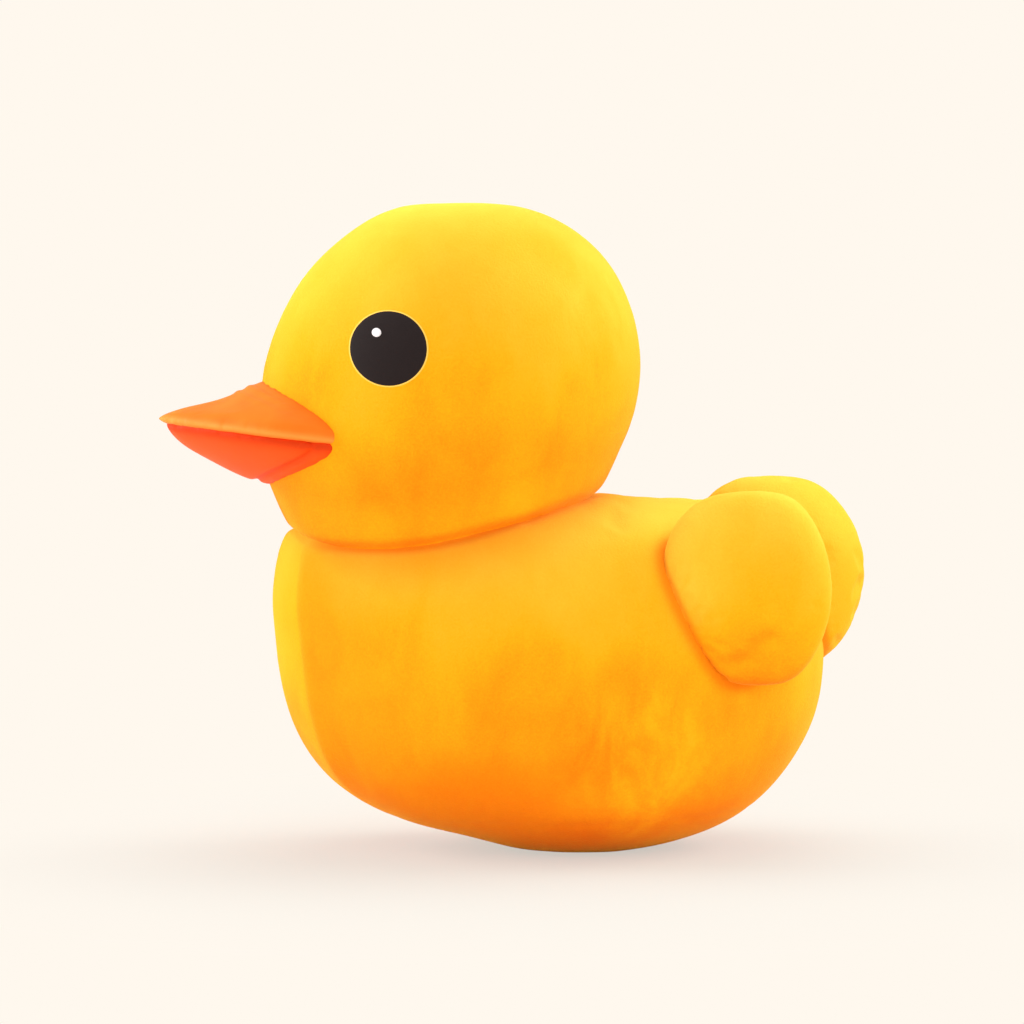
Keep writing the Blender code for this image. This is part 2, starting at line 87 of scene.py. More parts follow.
# Body cover
# Short-pile plush in orange-yellow: two side panels, a chest panel and a base panel, sewn inside out,
# turned and filled through the back seam. It is the largest piece and carries all the others.
BODY_RINGS = (  # each ring's height, and its reach to the front, to the rear and to each side, as shares
    (0.000, 0.00, 0.00, 0.00),
    (0.000, 0.22, 0.46, 0.46),
    (0.110, 0.72, 0.78, 0.78),
    (0.340, 0.98, 1.02, 1.02),
    (0.640, 1.04, 1.05, 1.06),
    (0.880, 1.04, 0.97, 0.89),
    (1.020, 0.76, 0.72, 0.58),
    (1.020, 0.00, 0.00, 0.00),
)
BODY_SIDES = 10
BODY_SQUARENESS = 2.15
BODY_AXIS_Y = 0.020
BASE_SAG = 0.0012
BELLY_LIFT = 0.0036
BELLY_Y = -0.030
BELLY_REACH = 0.040
BELLY_TOP = 0.055
SHOULDER_DROP = 0.0025
CHEEK_DROP = 0.0060
CHEEK_RANGE = (0.010, 0.090)  # how far in front of the middle the cheeks' dip starts and is full
ASIDE_RANGE = (0.004, 0.048)  # how far to the side the dip at the neck starts and is full
NECK_Z = 0.196
NECK_REACH = 0.034
CHEST_RISE = 0.006
CHEST_EDGE = 0.0050
CHEST_EDGE_ROUND = 0.0035
CHEST_EDGE_REACH = 0.020
CHEST_EDGE_Z = (0.015, 0.070)
FORM_LEVELS = 3
VOXEL = 0.0040
REMESH_SMOOTHING = 6
FAR_AWAY = 1.0  # for a seam that isn't on this side of the cover
LEAST_SLOPE = 0.3
TINY = 1e-6  # keeps a division from being by nothing
SWELL_ROOM = 0.0016
SIM_FRAMES = 20
SPARE_CLOTH = 0.003
MOST_SWELL = 0.0025
PIN_WIDTH = 0.0035
LUMP_HEIGHT = 0.0012
LUMP_SIZE = 0.050
SEAM_DEPTH = 0.0011
SEAM_WIDTH = 0.0026
HIDDEN_SHARE = 0.15
SIDE_SHADE = 0.32
SIDE_SHADE_EDGE = (-0.001, 0.002)
SIDE_SHADE_REACH = 0.085
PATCH_EDGE = (0.55, 1.25)  # where an oval patch of nap starts to fade and ends, as shares of its reach
BRUSHED_CENTRE = Vector((0.100, 0.058, 0.062))
BRUSHED_REACH = Vector((0.060, 0.056, 0.050))
# Painted shade in an oval low on the body's left side, towards the front.
PAINTED_LOW_SHADE_CENTRE = Vector((0.080, -0.035, 0.026))
PAINTED_LOW_SHADE_REACH = Vector((0.090, 0.085, 0.046))
PAINTED_LOW_SHADE = 0.48
# Painted light in an oval on the top of the back, behind the neck.
PAINTED_BACK_LIGHT_CENTRE = Vector((0.000, 0.075, 0.218))
PAINTED_BACK_LIGHT_REACH = Vector((0.120, 0.065, 0.024))
PAINTED_BACK_LIGHT = 0.6


def settled(mesh_object):
    """Applies every modifier on the object."""
    graph = bpy.context.evaluated_depsgraph_get()
    mesh = bpy.data.meshes.new_from_object(mesh_object.evaluated_get(graph))
    mesh_object.modifiers.clear()
    mesh_object.data = mesh
    mesh.name = mesh_object.name
    return mesh_object


def smoothed(mesh_object, levels):
    """The object's mesh after Catmull-Clark subdivision."""
    smooth = mesh_object.modifiers.new("smooth", "SUBSURF")
    smooth.levels = levels
    smooth.render_levels = levels
    return settled(mesh_object)


def object_from(bm, name):
    """An object with the bmesh's shape, its faces turned outwards."""
    bmesh.ops.recalc_face_normals(bm, faces=bm.faces)
    mesh = bpy.data.meshes.new(name)
    bm.to_mesh(mesh)
    bm.free()
    made = bpy.data.objects.new(name, mesh)
    scene.collection.objects.link(made)
    return made


def ring_sphere(name, rings, sides, place):
    """A sphere whose rings are moved by place(ring, sine, cosine, is_pole), from its bottom pole up."""
    bm = bmesh.new()
    bmesh.ops.create_uvsphere(bm, u_segments=sides, v_segments=len(rings) - 1, radius=1.0)
    last = len(rings) - 1
    for vertex in bm.verts:
        level = round(math.acos(max(-1.0, min(1.0, -vertex.co.z))) * last / math.pi)
        angle = math.atan2(vertex.co.x, vertex.co.y)
        vertex.co = place(rings[level], math.sin(angle), math.cos(angle), level in (0, last))
    return smoothed(object_from(bm, name), FORM_LEVELS)


def squared(value, squareness):
    """A sine or cosine changed so that a circle becomes squarer above two, and more pointed below it."""
    return math.copysign(abs(value) ** (2.0 / squareness), value)


def fitted(form, low, high):
    """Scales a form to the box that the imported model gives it."""
    points = [vertex.co for vertex in form.data.vertices]
    was_low = [min(point[axis] for point in points) for axis in range(3)]
    was_high = [max(point[axis] for point in points) for axis in range(3)]
    for vertex in form.data.vertices:
        for axis in range(3):
            share = (vertex.co[axis] - was_low[axis]) / (was_high[axis] - was_low[axis])
            vertex.co[axis] = low[axis] + share * (high[axis] - low[axis])
    return form


def standing_form(name, rings, sides, squareness, low, high, axis_y):
    """A form whose rings are level. Front and rear are measured from axis_y."""
    front, rear = axis_y - low.y, high.y - axis_y
    middle_x, half_width = (low.x + high.x) / 2, (high.x - low.x) / 2

    def place(ring, sine, cosine, is_pole):
        height, front_share, rear_share, width_share = ring
        z = low.z + height * (high.z - low.z)
        if is_pole:
            return Vector((middle_x, axis_y, z))
        across, along = squared(sine, squareness), squared(cosine, squareness)
        reach = rear_share * rear if along > 0 else front_share * front
        return Vector((middle_x + across * width_share * half_width, axis_y + along * reach, z))

    return fitted(ring_sphere(name, rings, sides, place), low, high)


def moved(mesh_object, shift):
    """Moves each point by shift(point, normal), then works the normals out again."""
    mesh = mesh_object.data
    moves = [shift(vertex.co, vertex.normal) for vertex in mesh.vertices]
    for vertex, move in zip(mesh.vertices, moves):
        vertex.co += move
    mesh.update()
    return mesh_object


def bell(distance, width):
    """One at no distance, falling smoothly to nothing at about twice the width."""
    return math.exp(-((distance / width) ** 2))


def eased(value, start, end):
    """Nothing at start, one at end, smooth between them."""
    share = max(0.0, min(1.0, (value - start) / (end - start)))
    return share * share * (3 - 2 * share)


def neck_drop(point, normal):
    """Both forms dip at the neck, most under the cheeks, so the seam runs down towards the front."""
    depth = SHOULDER_DROP + CHEEK_DROP * eased(-point.y, *CHEEK_RANGE)
    aside = eased(abs(point.x), *ASIDE_RANGE)
    return Vector((0.0, 0.0, -depth * aside * bell(point.z - NECK_Z, NECK_REACH)))


def belly_lift(point, normal):
    """The underside rises in front of the part that the duck sits on."""
    rise = BELLY_LIFT * bell(point.y - BELLY_Y, BELLY_REACH) * (1.0 - eased(point.z, 0.0, BELLY_TOP))
    return Vector((0.0, 0.0, rise))


chest_low, chest_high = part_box("chest_panel")
base_low, base_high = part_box("base_panel")
side_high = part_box("body_left_panel")[1]
body_low = Vector((-side_high.x, chest_low.y, -BASE_SAG))
body_high = Vector((side_high.x, side_high.y, side_high.z))
body_form = standing_form(
    "body_form", BODY_RINGS, BODY_SIDES, BODY_SQUARENESS, body_low, body_high, BODY_AXIS_Y
)
moved(body_form, belly_lift)
moved(body_form, neck_drop)

chest_middle_z = (chest_low.z + chest_high.z) / 2
chest_half_height = chest_high.z + CHEST_RISE - chest_middle_z
base_middle_y = (base_low.y + base_high.y) / 2
base_half_length = base_high.y - base_middle_y


def oval_distance(across, along, half_across, half_along, slope):
    """How far inside (below zero) or outside an oval's outline a point lies, on a surface that leans."""
    radius = math.hypot(across / half_across, along / half_along)
    steep = math.hypot(across / half_across**2, along / half_along**2) / max(radius, TINY)
    return (radius - 1.0) / max(steep * max(slope, LEAST_SLOPE), TINY)


def chest_distance(point, normal):
    """The distance to the chest panel's seam, below zero on the panel."""
    if point.y > BODY_AXIS_Y or normal.y > 0:
        return FAR_AWAY
    return oval_distance(
        point.x, point.z - chest_middle_z, chest_high.x, chest_half_height, abs(normal.y)
    )


def base_distance(point, normal):
    """The distance to the base panel's seam, below zero on the panel."""
    if point.z > base_high.z + PIN_WIDTH or normal.z > 0:
        return FAR_AWAY
    return oval_distance(
        point.x, point.y - base_middle_y, base_high.x, base_half_length, abs(normal.z)
    )


def panel_seam_distance(point, normal):
    """The distance to the nearer of the chest seam and the base seam."""
    return min(abs(chest_distance(point, normal)), abs(base_distance(point, normal)))


def back_seam_distance(point, normal):
    """The distance to the seam down the back, which ends at the base panel and at the chest panel."""
    if base_distance(point, normal) < 0 or chest_distance(point, normal) < 0:
        return FAR_AWAY
    return abs(point.x)


def tree_of(mesh_object):
    """A search tree of the object's faces, to find the nearest point on it or where a ray hits it."""
    bm = bmesh.new()
    bm.from_mesh(mesh_object.data)
    tree = BVHTree.FromBMesh(bm)
    bm.free()
    return tree


def cut_by(mesh_object, tool):
    """Takes the tool's shape away from the object."""
    trim = mesh_object.modifiers.new("trim", "BOOLEAN")
    trim.operation = "DIFFERENCE"
    trim.solver = "EXACT"
    trim.object = tool
    settled(mesh_object)


def remeshed(mesh_object, voxel, rounds):
    """Even quads of one size, with their steps smoothed away."""
    remesh = mesh_object.modifiers.new("remesh", "REMESH")
    remesh.mode = "VOXEL"
    remesh.voxel_size = voxel
    settled(mesh_object)
    bm = bmesh.new()
    bm.from_mesh(mesh_object.data)
    for _ in range(rounds):
        bmesh.ops.smooth_vert(
            bm, verts=bm.verts, factor=0.5, use_axis_x=True, use_axis_y=True, use_axis_z=True
        )
    bm.to_mesh(mesh_object.data)
    bm.free()
    return mesh_object


def copied(form, name):
    """A second object with its own copy of the form's mesh."""
    copy = bpy.data.objects.new(name, form.data.copy())
    scene.collection.objects.link(copy)
    return copy


def cover_of(form, name, voxel, carriers=(), tuck=lambda point: 0.0):
    """A cover with the form's shape, cut where it lies on its carriers. Its edge is tucked into them by
    tuck(point)."""
    cover = copied(form, name)
    for carrier in carriers:
        tool = moved(copied(carrier, "tool"), lambda point, normal: normal * -tuck(point))
        cut_by(cover, tool)
        bpy.data.objects.remove(tool, do_unlink=True)
    return remeshed(cover, voxel, REMESH_SMOOTHING)


def stuffed(mesh_object, seam_distance, spare, most):
    """Blows the cover up under pressure. Its seams are held, and the share of spare cloth makes it pucker
    at them. No point moves by more than most."""
    mesh = mesh_object.data
    held = mesh_object.vertex_groups.new(name="held")
    for vertex in mesh.vertices:
        grip = 1.0 - seam_distance(vertex.co, vertex.normal) / PIN_WIDTH
        if grip > 0:
            held.add([vertex.index], min(1.0, 2.0 * grip), "REPLACE")
    before = [vertex.co.copy() for vertex in mesh.vertices]
    cloth = mesh_object.modifiers.new("cloth", "CLOTH")
    cloth.settings.quality = 5
    cloth.settings.mass = 0.3
    cloth.settings.tension_stiffness = 20.0
    cloth.settings.compression_stiffness = 20.0
    cloth.settings.shear_stiffness = 6.0
    cloth.settings.bending_stiffness = 2.0
    cloth.settings.use_pressure = True
    cloth.settings.uniform_pressure_force = 4.0
    cloth.settings.shrink_min = -spare
    cloth.settings.vertex_group_mass = "held"
    cloth.settings.effector_weights.gravity = 0.0
    cloth.collision_settings.use_collision = False
    cloth.point_cache.frame_start = 1
    cloth.point_cache.frame_end = SIM_FRAMES
    for step in range(1, SIM_FRAMES + 1):
        scene.frame_set(step)
    settled(mesh_object)
    scene.frame_set(1)
    mesh_object.vertex_groups.clear()
    for vertex, start in zip(mesh_object.data.vertices, before):
        move = vertex.co - start
        if move.length > most:
            vertex.co = start + move * (most / move.length)
    mesh_object.data.update()


def marked(mesh_object, name, value):
    """Stores value(point, normal) on each point for the material to read, or what was there if more."""
    mesh = mesh_object.data
    layer = mesh.attributes.get(name) or mesh.attributes.new(name, "FLOAT", "POINT")
    marks = [value(vertex.co, vertex.normal) for vertex in mesh.vertices]
    for item, mark in zip(layer.data, marks):
        item.value = max(item.value, mark)


def lumpy(point, normal):
    """Filling that is a little uneven under the cover."""
    return normal * LUMP_HEIGHT * noise.noise(point / LUMP_SIZE)


def swell_room(point, normal):
    """The cover starts this much smaller, because the filling swells it."""
    return normal * -SWELL_ROOM


def chest_edge(point, normal):
    """The chest panel is flatter than the sides, and its seam makes an edge down the front."""
    away = math.hypot(chest_distance(point, normal), CHEST_EDGE_ROUND) - CHEST_EDGE_ROUND
    along_seam = math.exp(-away / CHEST_EDGE_REACH)
    return normal * CHEST_EDGE * along_seam * eased(point.z, *CHEST_EDGE_Z)


def body_seams(point, normal):
    """Seams pull the cover in. The pile nearly hides those of the base and the chest."""
    back = bell(back_seam_distance(point, normal), SEAM_WIDTH)
    panel = HIDDEN_SHARE * bell(panel_seam_distance(point, normal), SEAM_WIDTH)
    return normal * -SEAM_DEPTH * max(back, panel)


def side_shade(point, normal):
    """Painted shade on the side panel just behind the chest panel, fading away from the chest seam."""
    behind = chest_distance(point, normal)
    return SIDE_SHADE * eased(behind, *SIDE_SHADE_EDGE) * bell(behind, SIDE_SHADE_REACH)


def on_the_floor(point, normal):
    """Presses flat what lies below the floor."""
    return Vector((0.0, 0.0, max(0.0, -point.z)))


def oval_patch(centre, reach):
    """One in the middle of an oval patch, falling to nothing at its edge."""
    return lambda point, normal: 1.0 - eased(
        Vector((point - centre)[axis] / reach[axis] for axis in range(3)).length, *PATCH_EDGE
    )


body = cover_of(body_form, "body_cover", VOXEL)
moved(body, swell_room)
stuffed(body, back_seam_distance, SPARE_CLOTH, MOST_SWELL)
smoothed(body, 1)
moved(body, lumpy)
moved(body, chest_edge)
moved(body, body_seams)
moved(body, on_the_floor)
marked(body, "seam", side_shade)
marked(body, "brushed", oval_patch(BRUSHED_CENTRE, BRUSHED_REACH))
painted_low_shade_patch, painted_back_light_patch = oval_patch(PAINTED_LOW_SHADE_CENTRE, PAINTED_LOW_SHADE_REACH), oval_patch(PAINTED_BACK_LIGHT_CENTRE, PAINTED_BACK_LIGHT_REACH)
# Painted shade in an oval low on the body's left side, towards the front.
marked(body, "seam", lambda point, normal: PAINTED_LOW_SHADE * painted_low_shade_patch(point, normal))
# Painted light in an oval on the top of the back, behind the neck.
marked(body, "spread", lambda point, normal: PAINTED_BACK_LIGHT * painted_back_light_patch(point, normal))


def linear(hex_colour):
    """Linear red, green, blue and alpha of an sRGB hex colour."""
    shares = [int(hex_colour[place:place + 2], 16) / 255 for place in (1, 3, 5)]
    return [
        share / 12.92 if share <= 0.04045 else ((share + 0.055) / 1.055) ** 2.4
        for share in shares
    ] + [1.0]


def add_node(tree, kind, inputs=None, **settings):
    """Adds a node. Each input is a value, or the socket that it is linked from."""
    made = tree.nodes.new(kind)
    for name, value in settings.items():
        setattr(made, name, value)
    for name, value in (inputs or {}).items():
        if isinstance(value, bpy.types.NodeSocket):
            tree.links.new(value, made.inputs[name])
        else:
            made.inputs[name].default_value = value
    return made


def new_material(name):
    """A material with nothing but its output. Returns it with its node tree and its output node."""
    made = bpy.data.materials.new(name)
    made.use_nodes = True
    tree = made.node_tree
    tree.nodes.clear()
    return made, tree, tree.nodes.new("ShaderNodeOutputMaterial")


# Sizes of the plush's patterns, in metres. The real pile's tufts, about 0.3 mm wide, are too fine to show,
# so they are drawn four times as wide.
TUFT = 0.0013
NAP_PATCH = 0.026
TONE_PATCH = 0.080
STROKE = 0.024
STROKE_START = 0.28
COMB_TURN = (0.7, 0.2, 0.3)
COMB_STRETCH = (1.0, 1.0, 0.45)
PILE_BUMP = 0.0008
STROKE_BUMP = 0.4

# What each pattern adds to the plush's tone, and the tones at which the colour is deep and middling. It
# is light at one.
LEAST_TONE = 0.153
NAP_TONE = 0.20
PATCH_TONE = 0.34
TUFT_TONE = 0.16
STROKE_TONE = 0.34
# The spread mark holds painted light, and on the wings also a paler tone all over.
PAINTED_LIGHT_AND_PALER_TONE = 0.30
# Painted light and shade: the plush is painted lighter where it faces up and deeper where it faces down.
PAINTED_TOP_LIGHT_TONE = 0.31
DEEP_TONE = 0.20
MIDDLE_TONE = 0.50


def plush_material(name, deep, middle, light, seam):
    """Short polyester pile, sheared and brushed, paler where it is stroked. The tone is painted lighter
    where the surface faces up and deeper where it faces down, the spread mark adds painted light, and the
    seam mark mixes in the seam colour as painted shade."""
    made, tree, output = new_material(name)
    coordinates = add_node(tree, "ShaderNodeTexCoord")
    place = coordinates.outputs["Object"]
    facing = add_node(tree, "ShaderNodeSeparateXYZ", {0: coordinates.outputs["Normal"]})
    tufts = add_node(tree, "ShaderNodeTexNoise", {
        "Vector": place, "Scale": 1 / TUFT, "Detail": 2.0, "Roughness": 0.6,
    })
    combed = add_node(tree, "ShaderNodeMapping", {
        "Vector": place, "Rotation": COMB_TURN, "Scale": COMB_STRETCH,
    })
    nap = add_node(tree, "ShaderNodeTexNoise", {
        "Vector": combed.outputs["Vector"], "Scale": 1 / NAP_PATCH, "Detail": 3.0, "Distortion": 0.5,
    })
    patches = add_node(tree, "ShaderNodeTexNoise", {
        "Vector": place, "Scale": 1 / TONE_PATCH, "Detail": 1.0,
    })
    strokes = add_node(tree, "ShaderNodeTexNoise", {
        "Vector": combed.outputs["Vector"], "Scale": 1 / STROKE, "Detail": 4.0, "Distortion": 1.5,
    })
    brushed = add_node(tree, "ShaderNodeAttribute", attribute_name="brushed")
    spread = add_node(tree, "ShaderNodeAttribute", attribute_name="spread")
    stroked = add_node(tree, "ShaderNodeMath", {
        0: strokes.outputs["Fac"], 1: STROKE_START,
    }, operation="SUBTRACT")
    stroked = add_node(tree, "ShaderNodeMath", {
        0: stroked.outputs[0], 1: brushed.outputs["Fac"],
    }, operation="MULTIPLY")
    tone = LEAST_TONE
    for pattern, share in (
        (nap.outputs["Fac"], NAP_TONE),
        (patches.outputs["Fac"], PATCH_TONE),
        (tufts.outputs["Fac"], TUFT_TONE),
        (stroked.outputs[0], STROKE_TONE),
        (spread.outputs["Fac"], PAINTED_LIGHT_AND_PALER_TONE),
        (facing.outputs["Z"], PAINTED_TOP_LIGHT_TONE),
    ):
        tone = add_node(tree, "ShaderNodeMath", {
            0: pattern, 1: share, 2: tone,
        }, operation="MULTIPLY_ADD").outputs[0]
    ramp = add_node(tree, "ShaderNodeValToRGB", {"Fac": tone})
    ramp.color_ramp.elements[0].position = DEEP_TONE
    ramp.color_ramp.elements[0].color = linear(deep)
    ramp.color_ramp.elements[1].color = linear(light)
    ramp.color_ramp.elements.new(MIDDLE_TONE).color = linear(middle)
    # The seam mark is painted shade: it mixes in the seam colour at creases, hollows, dimples and places
    # that lie in shadow.
    sewn = add_node(tree, "ShaderNodeAttribute", attribute_name="seam")
    colour = add_node(tree, "ShaderNodeMix", {
        0: sewn.outputs["Fac"], 6: ramp.outputs["Color"], 7: linear(seam),
    }, data_type="RGBA")
    height = add_node(tree, "ShaderNodeMath", {
        0: stroked.outputs[0], 1: STROKE_BUMP, 2: tufts.outputs["Fac"],
    }, operation="MULTIPLY_ADD")
    bump = add_node(tree, "ShaderNodeBump", {
        "Height": height.outputs[0], "Strength": 0.55, "Distance": PILE_BUMP,
    })
    shader = add_node(tree, "ShaderNodeBsdfPrincipled", {
        "Base Color": colour.outputs[2], "Normal": bump.outputs["Normal"], "Roughness": 0.95,
        "Specular IOR Level": 0.1, "Sheen Weight": 0.45, "Sheen Roughness": 0.35,
        "Sheen Tint": linear("#ffec60"),
    })
    tree.links.new(shader.outputs[0], output.inputs[0])
    return made


# The last colour is the painted shade that the seam mark mixes in.
plush = plush_material("yellow_plush", "#ee6c02", "#ffab10", "#ffd044", "#ec7604")


def finish_piece(piece, material, slot_name, fill, *nodes):
    """Gives a padded piece its material and smooth shading, and hides the nodes that it stands for."""
    piece.data.materials.clear()
    piece.data.materials.append(material)
    piece.data.shade_smooth()
    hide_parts(*nodes)


finish_piece(
    body, plush, "plush", 0.9,
    "body_left_panel", "body_right_panel", "chest_panel", "base_panel", "body_fill",
)
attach(body, "duck")

# Head cover
# The same plush in a left and a right half, filled and sewn round the neck to the body. The filling
# rounds out the neck on both sides of that seam, which draws a narrow crease.
HEAD_RINGS = (
    (0.00, 0.00, 0.00, 0.00),
    (0.00, 0.60, 0.40, 0.52),
    (0.19, 1.00, 0.78, 0.90),
    (0.42, 1.08, 1.06, 1.04),
    (0.66, 1.00, 1.08, 1.06),
    (0.88, 0.75, 0.92, 0.83),
    (1.02, 0.35, 0.50, 0.40),
    (1.02, 0.00, 0.00, 0.00),
)
HEAD_SIDES = 10
HEAD_SQUARENESS = 1.95
HEAD_HEIGHT = 0.228
HEAD_AXIS_Y = -0.040
HEAD_TUCK = 0.0080
NECK_FILL = 0.034
NECK_CREASE = 0.0036
NECK_CREASE_WIDTH = 0.0042
CREASE_RANGE = (-0.150, -0.105)  # from the front, where the crease starts and is full
NECK_SHADE = 0.30
NECK_SHADE_WIDTH = 0.0032
HEAD_WIDE_SHADE = 0.06
BODY_WIDE_SHADE = 0.56
WIDE_SHADE_WIDTH = 0.0256
# Painted light on the head beside the neck seam, lifting the crease's shade.
PAINTED_NECK_LIGHT = 0.35
PAINTED_NECK_LIGHT_WIDTH = 0.0064
HEAD_BRUSHED_CENTRE = Vector((0.080, 0.045, 0.335))
HEAD_BRUSHED_REACH = Vector((0.060, 0.030, 0.050))

half_low, half_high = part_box("head_left_panel")
head_form = standing_form(
    "head_form", HEAD_RINGS, HEAD_SIDES, HEAD_SQUARENESS,
    Vector((-half_high.x, half_low.y, half_high.z - HEAD_HEIGHT)), half_high, HEAD_AXIS_Y,
)
moved(head_form, neck_drop)


def fine_tree(form):
    """A search tree of a form with small faces, so its normal hardly steps from face to face."""
    fine = smoothed(copied(form, "fine_form"), 2)
    tree = tree_of(fine)
    bpy.data.objects.remove(fine, do_unlink=True)
    return tree


body_tree, head_tree = fine_tree(body_form), fine_tree(head_form)


def gap_to(tree, point):
    """The distance from a point to a form, below zero inside it, and the form's normal there."""
    place, normal, _, distance = tree.find_nearest(point)
    return math.copysign(distance, (point - place).dot(normal)), normal


def neck_distance(point):
    """The distance to the line where the two forms meet."""
    return math.hypot(gap_to(body_tree, point)[0], gap_to(head_tree, point)[0])


def neck_shift(point, normal):
    """Fills the corner between the two forms to a round hollow, and draws the seam in at its bottom. In
    front the filling pushes the seam out until it hardly shows."""
    body_gap, body_normal = gap_to(body_tree, point)
    head_gap, head_normal = gap_to(head_tree, point)
    share = max(0.0, 1.0 - abs(body_gap - head_gap) / NECK_FILL)
    near, far = (body_normal, head_normal) if body_gap < head_gap else (head_normal, body_normal)
    fill = near.lerp(far, share / 2) * (share**2 * NECK_FILL / 4)
    crease = NECK_CREASE * bell(math.hypot(body_gap, head_gap), NECK_CREASE_WIDTH)
    crease *= eased(point.y, *CREASE_RANGE)
    return fill - (body_normal + head_normal).normalized() * crease


def centre_seam(point, normal):
    """The seam between the left and the right half pulls the cover in."""
    return normal * -SEAM_DEPTH * bell(point.x, SEAM_WIDTH)


def neck_shade(wide_share):
    """Painted shade along the crease of the neck seam, and a wider painted shadow beside it, mostly on
    the body under the head.
    """
    def shade(point, normal):
        distance = neck_distance(point)
        close, wide = bell(distance, NECK_SHADE_WIDTH), bell(distance, WIDE_SHADE_WIDTH)
        return (NECK_SHADE * close + wide_share * wide) * eased(point.y, *CREASE_RANGE)

    return shade


head = cover_of(head_form, "head_cover", VOXEL, [body_form], lambda point: HEAD_TUCK)
moved(head, swell_room)
stuffed(
    head, lambda point, normal: min(abs(point.x), neck_distance(point)), SPARE_CLOTH, MOST_SWELL
)
smoothed(head, 1)
moved(head, lumpy)
moved(head, centre_seam)
marked(head, "seam", neck_shade(HEAD_WIDE_SHADE))
# Painted light on the head beside the neck seam, lifting the crease's shade.
marked(head, "spread", lambda point, normal: (
    PAINTED_NECK_LIGHT * bell(neck_distance(point), PAINTED_NECK_LIGHT_WIDTH)
))
marked(body, "seam", neck_shade(BODY_WIDE_SHADE))
for piece in (head, body):
    moved(piece, neck_shift)
marked(head, "brushed", oval_patch(HEAD_BRUSHED_CENTRE, HEAD_BRUSHED_REACH))
finish_piece(head, plush, "plush", 0.9, "head_left_panel", "head_right_panel", "head_fill")
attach(head, "duck")

# Tail
# One padded lobe of the same plush in a left and a right half, sewn together down the middle and then to
# the top of the back, so that it turns up.
TAIL_RINGS = (
    (0.00, 0.00, 0.00, 0.00),
    (0.02, 0.30, 0.60, 0.50),
    (0.30, 0.80, 1.06, 1.00),
    (0.66, 1.04, 1.12, 1.10),
    (0.98, 0.42, 0.66, 0.60),
    (1.02, 0.00, 0.00, 0.00),
)
TAIL_SIDES = 8
TAIL_SQUARENESS = 2.1
TAIL_HALF_WIDTH = 0.050
TAIL_HEIGHT = 0.125
TAIL_FRONT = 0.065
TAIL_REAR = 0.058
SMALL_VOXEL = 0.0026
TAIL_TUCK = 0.0050
TAIL_SPARE_CLOTH = 0.015
TAIL_MOST_SWELL = 0.002
TAIL_SEAM_SHADE = 0.8
# Painted light on the tail's sides.
PAINTED_TAIL_LIGHT = 0.45

tail_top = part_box("tail_left_panel")[1]
tail_axis_y = tail_top.y - TAIL_REAR
tail_form = standing_form(
    "tail_form", TAIL_RINGS, TAIL_SIDES, TAIL_SQUARENESS,
    Vector((-TAIL_HALF_WIDTH, tail_axis_y - TAIL_FRONT, tail_top.z - TAIL_HEIGHT)),
    Vector((TAIL_HALF_WIDTH, tail_top.y, tail_top.z)),
    tail_axis_y,
)


def body_distance(point, normal):
    """The distance to the body, whose cover the tail and the wings are sewn to."""
    return body_tree.find_nearest(point)[3]


tail = cover_of(tail_form, "tail_cover", SMALL_VOXEL, [body_form], lambda point: TAIL_TUCK)
moved(tail, swell_room)
stuffed(
    tail, lambda point, normal: min(abs(point.x), body_distance(point, normal)),
    TAIL_SPARE_CLOTH, TAIL_MOST_SWELL,
)
smoothed(tail, 1)
moved(tail, lumpy)
moved(tail, centre_seam)
marked(tail, "seam", lambda point, normal: (
    TAIL_SEAM_SHADE * bell(body_distance(point, normal), SEAM_WIDTH)
))
# Painted light on the tail's sides.
marked(tail, "spread", lambda point, normal: PAINTED_TAIL_LIGHT * abs(normal.x))
finish_piece(tail, plush, "plush", 0.85, "tail_left_panel", "tail_right_panel", "tail_fill")
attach(tail, "duck")

# Wings
# A padded paddle of the same plush on each side, of an outer and an inner panel sewn together round the
# rim. Its front edge is sewn to the body. The left one is sewn on a little higher than the right.
WING_RINGS = (
    (0.00, 0.00, 0.00, 0.00),
    (0.01, 0.36, 0.60, 0.52),
    (0.28, 0.90, 1.04, 1.00),
    (0.66, 1.14, 1.10, 1.10),
    (0.98, 0.70, 0.66, 0.66),
    (1.02, 0.00, 0.00, 0.00),
)
WING_SIDES = 8
WING_SQUARENESS = 2.0
WING_FRONT = 0.054
WING_REAR = 0.049
WING_HALF_THICKNESS = 0.026
WING_HEIGHT = 0.117
LEFT_WING_OVER = 0.007
RIGHT_WING_OVER = -0.005
WING_TUCK = 0.0050
SEWN_RANGE = (0.090, 0.115)  # from the sewn front edge to where the wing lies free
WING_AXIS_Y = 0.129
WING_X = 0.100
WING_TOE = math.radians(14.0)
WING_ROOM = 0.0010
WING_SPARE_CLOTH = 0.012
WING_MOST_SWELL = 0.005
WING_SEAM_SHADE = 0.5
DIMPLE = ((0.1160, 0.1220), (0.1255, 0.1255), (0.1285, 0.1325), (0.1355, 0.1370))
DIMPLE_DEPTH = 0.0016
DIMPLE_WIDTH = 0.0055
DIMPLE_SHADE = 0.15
OUTER_FACE = (0.2, 0.7)  # how far a normal has to turn outwards to be on the wing's outer panel
OUTER_SPREAD = 0.35
# Painted light on the wing's upper front rim.
PAINTED_RIM_LIGHT = 0.9
RIM_FACE = (0.15, 0.75)
RIM_Z = (0.130, 0.170)
BODY_FACE = (0.3, 0.8)
HOLLOW_DEPTH = 0.0008
HOLLOW_WIDTH = 0.0065
HOLLOW_SHADE = 0.70
HOLLOW_SHADE_WIDTH = 0.0050


def nearest_on_line(flat, start, end):
    """The point of a straight piece of line that is nearest to a point."""
    along = end - start
    share = max(0.0, min(1.0, (flat - start).dot(along) / along.length_squared))
    return start + along * share


